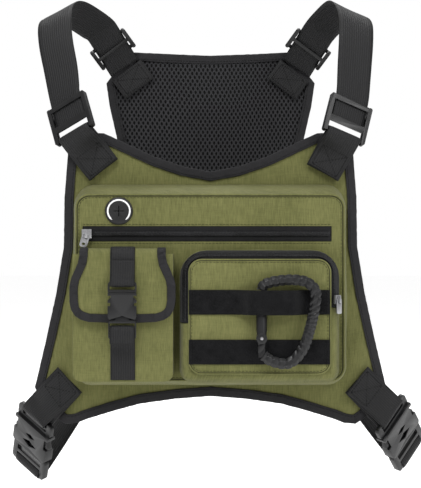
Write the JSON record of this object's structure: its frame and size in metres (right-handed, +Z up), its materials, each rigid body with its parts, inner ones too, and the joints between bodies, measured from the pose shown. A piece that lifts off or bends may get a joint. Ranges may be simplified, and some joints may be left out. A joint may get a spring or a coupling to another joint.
{
  "type": "chest rig vest",
  "caption": "Chest-rig vest: padded front panel with a zipped pocket, a flap pouch and a banded pouch, webbing over the shoulders and round the waist, and a mesh back pad.",
  "frame": {"origin": "middle of the chest face of the front panel, on its centre line", "axes": "+Z up the wearer's chest, +Y out of the chest face towards the wearer, so the front of the vest faces -Y; +X is the right side as seen from the front"},
  "size_m": [0.4559, 0.2771, 0.5345],
  "materials": {
    "olive_cloth": "matte woven nylon",
    "black_webbing": "matte ribbed webbing",
    "black_tape": "matte grosgrain and zip tape",
    "black_mesh": "matte spacer mesh",
    "foam": "soft foam",
    "black_plastic": "satin moulded acetal",
    "black_rubber": "matte moulded rubber",
    "gunmetal": "plated zinc alloy"
  },
  "bodies": {
    "vest": {"panel_lining": "olive_cloth", "panel_foam": "foam", "panel_shell": "olive_cloth", "panel_binding": "black_tape", "main_pocket_gusset": "olive_cloth", "main_pocket_front": "olive_cloth", "main_zip_tape_upper": "black_tape", "main_zip_tape_lower": "black_tape", "main_zip_coil": "black_tape", "earphone_port": "black_rubber", "port_backing_ring": "black_rubber", "flap_pouch_body": "olive_cloth", "pouch_webbing": "black_webbing", "zip_pouch_gusset": "olive_cloth", "zip_pouch_front": "olive_cloth", "zip_pouch_lower_gusset": "olive_cloth", "zip_pouch_tapes": "black_tape", "zip_pouch_coil": "black_tape", "band_upper": "black_webbing", "band_lower": "black_webbing", "shoulder_tab_left": "black_webbing", "shoulder_strap_left": "black_webbing", "waist_left_female": "black_plastic", "waist_left_male": "black_plastic", "waist_tab_left": "black_webbing", "waist_strap_left": "black_webbing", "shoulder_tab_right": "black_webbing", "shoulder_strap_right": "black_webbing", "waist_right_female": "black_plastic", "waist_right_male": "black_plastic", "waist_tab_right": "black_webbing", "waist_strap_right": "black_webbing"},
    "flap": {"pouch_flap": "olive_cloth", "flap_binding": "black_tape", "flap_webbing": "black_webbing", "pouch_buckle_female": "black_plastic", "pouch_buckle_male": "black_plastic"},
    "pouch_prong_left_body": {"pouch_buckle_prong_left": "black_plastic"},
    "pouch_prong_right_body": {"pouch_buckle_prong_right": "black_plastic"},
    "waist_left_prong_left_body": {"waist_left_prong_left": "black_plastic"},
    "waist_left_prong_right_body": {"waist_left_prong_right": "black_plastic"},
    "waist_right_prong_left_body": {"waist_right_prong_left": "black_plastic"},
    "waist_right_prong_right_body": {"waist_right_prong_right": "black_plastic"},
    "main_slider": {"main_zip_slider": "gunmetal"},
    "main_pull": {"main_zip_pull": "gunmetal"},
    "side_slider": {"zip_pouch_slider": "gunmetal"},
    "side_pull": {"zip_pouch_pull": "gunmetal"},
    "carabiner": {"carabiner_body": "black_plastic", "carabiner_gate_pin": "gunmetal"},
    "gate": {"carabiner_gate": "black_plastic"},
    "lock_left": {"ladder_lock_left": "black_plastic"},
    "lock_right": {"ladder_lock_right": "black_plastic"},
    "back": {"pad_mesh": "black_mesh", "pad_foam": "foam", "pad_binding": "black_tape", "pad_patch_left": "black_webbing", "pad_patch_right": "black_webbing"},
    "glide_left": {"tri_glide_left": "black_plastic"},
    "glide_right": {"tri_glide_right": "black_plastic"}
  },
  "joints": [
    {"name": "flap_open", "type": "hinge", "parent": "vest", "child": "flap", "pos_m": [-0.089, -0.0588, 0.037], "axis": [-1, 0, 0], "range_deg": [0, 48], "deforming": ["pouch_webbing"]},
    {"name": "pouch_prong_left_bend", "type": "hinge", "parent": "flap", "child": "pouch_prong_left_body", "pos_m": [-0.10097, -0.093, -0.03278], "axis": [0, 1, 0], "range_deg": [0, 9], "stiffness_Nm_per_rad": 0.2},
    {"name": "pouch_prong_right_bend", "type": "hinge", "parent": "flap", "child": "pouch_prong_right_body", "pos_m": [-0.07703, -0.093, -0.03278], "axis": [0, 1, 0], "range_deg": [-9, 0], "stiffness_Nm_per_rad": 0.2},
    {"name": "waist_left_prong_left_bend", "type": "hinge", "parent": "vest", "child": "waist_left_prong_left_body", "pos_m": [-0.21106, 0.04897, -0.16974], "axis": [0.7027, 0.6517, 0.2855], "range_deg": [0, 14], "stiffness_Nm_per_rad": 0.2},
    {"name": "waist_left_prong_right_bend", "type": "hinge", "parent": "vest", "child": "waist_left_prong_right_body", "pos_m": [-0.17965, 0.02487, -0.19203], "axis": [0.7027, 0.6517, 0.2855], "range_deg": [-14, 0], "stiffness_Nm_per_rad": 0.2},
    {"name": "waist_right_prong_left_bend", "type": "hinge", "parent": "vest", "child": "waist_right_prong_left_body", "pos_m": [0.19709, 0.02221, -0.18606], "axis": [-0.7346, 0.644, 0.2136], "range_deg": [0, 14], "stiffness_Nm_per_rad": 0.2},
    {"name": "waist_right_prong_right_bend", "type": "hinge", "parent": "vest", "child": "waist_right_prong_right_body", "pos_m": [0.22263, 0.04046, -0.15321], "axis": [-0.7346, 0.644, 0.2136], "range_deg": [-14, 0], "stiffness_Nm_per_rad": 0.2},
    {"name": "main_zip_travel", "type": "slide", "parent": "vest", "child": "main_slider", "axis": [1, 0, 0], "range_m": [0, 0.243]},
    {"name": "main_pull_swing", "type": "hinge", "parent": "main_slider", "child": "main_pull", "pos_m": [-0.1275, -0.0628, 0.0535], "axis": [-0.9611, 0, 0.2764], "range_deg": [0, 165]},
    {"name": "side_zip_travel", "type": "slide", "parent": "vest", "child": "side_slider", "axis": [0, 0, 1], "range_m": [0, 0.018]},
    {"name": "side_pull_swing", "type": "hinge", "parent": "side_slider", "child": "side_pull", "pos_m": [0.13028, -0.08432, -0.01285], "axis": [-0.7071, -0.7071, 0], "range_deg": [0, 165]},
    {"name": "carabiner_swing", "type": "hinge", "parent": "vest", "child": "carabiner", "pos_m": [0.0515, -0.095, -0.052], "axis": [0, 0, 1], "range_deg": [-90, 0]},
    {"name": "gate_press", "type": "hinge", "parent": "carabiner", "child": "gate", "pos_m": [0.0515, -0.095, -0.052], "axis": [0, 1, 0], "range_deg": [0, 20], "stiffness_Nm_per_rad": 0.05},
    {"name": "lock_left_tilt", "type": "hinge", "parent": "vest", "child": "lock_left", "pos_m": [-0.14321, -0.02026, 0.15974], "axis": [0.8243, -0.3476, 0.4469], "range_deg": [-25, 25]},
    {"name": "lock_right_tilt", "type": "hinge", "parent": "vest", "child": "lock_right", "pos_m": [0.14059, -0.01908, 0.15805], "axis": [0.8991, 0.2497, -0.3596], "range_deg": [-25, 25]},
    {"name": "back_swing", "type": "hinge", "parent": "vest", "child": "back", "pos_m": [0, 0.066, 0.302], "axis": [1, 0, 0], "range_deg": [0, 20], "deforming": ["shoulder_strap_left", "shoulder_strap_right", "waist_strap_left", "waist_strap_right"]},
    {"name": "glide_left_travel", "type": "slide", "parent": "back", "child": "glide_left", "axis": [-0.5286, -0.4732, 0.7048], "range_m": [-0.008, 0.008]},
    {"name": "glide_right_travel", "type": "slide", "parent": "back", "child": "glide_right", "axis": [0.5286, -0.4732, 0.7048], "range_m": [-0.008, 0.008]}
  ],
  "couplings": [
    {"joint": "pouch_prong_right_bend", "follows": "pouch_prong_left_bend", "ratio": -1},
    {"joint": "waist_left_prong_right_bend", "follows": "waist_left_prong_left_bend", "ratio": -1},
    {"joint": "waist_right_prong_right_bend", "follows": "waist_right_prong_left_bend", "ratio": -1}
  ]
}
